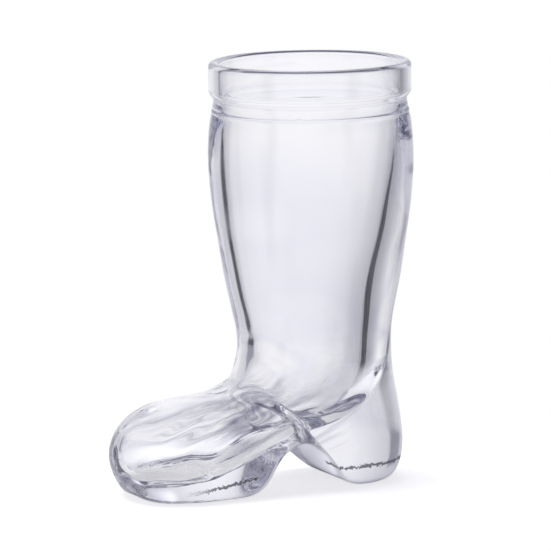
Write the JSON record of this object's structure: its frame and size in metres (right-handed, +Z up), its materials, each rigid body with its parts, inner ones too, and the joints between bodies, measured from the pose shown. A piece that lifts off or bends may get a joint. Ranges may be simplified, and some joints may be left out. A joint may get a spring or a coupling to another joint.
{
  "type": "boot-shaped drinking glass",
  "caption": "Boot-shaped clear drinking glass with a banded rim, a tapering leg, a hollow rounded foot and a thick solid heel, standing on a flat sole and heel.",
  "frame": {"origin": "on the table plane, under the middle of the overall box", "axes": "+Z up along the leg, -X towards the toe, +Y to the side; the glass is alike on both sides of y = 0"},
  "size_m": [0.0716, 0.0458, 0.0946],
  "materials": {
    "clear_glass": "clear fire-polished soda-lime glass, faintly blue-grey where it is thick"
  },
  "bodies": {
    "root": {"rim_band": "clear_glass", "shaft": "clear_glass", "counter": "clear_glass", "vamp": "clear_glass", "sole": "clear_glass", "heel": "clear_glass"}
  },
  "joints": []
}
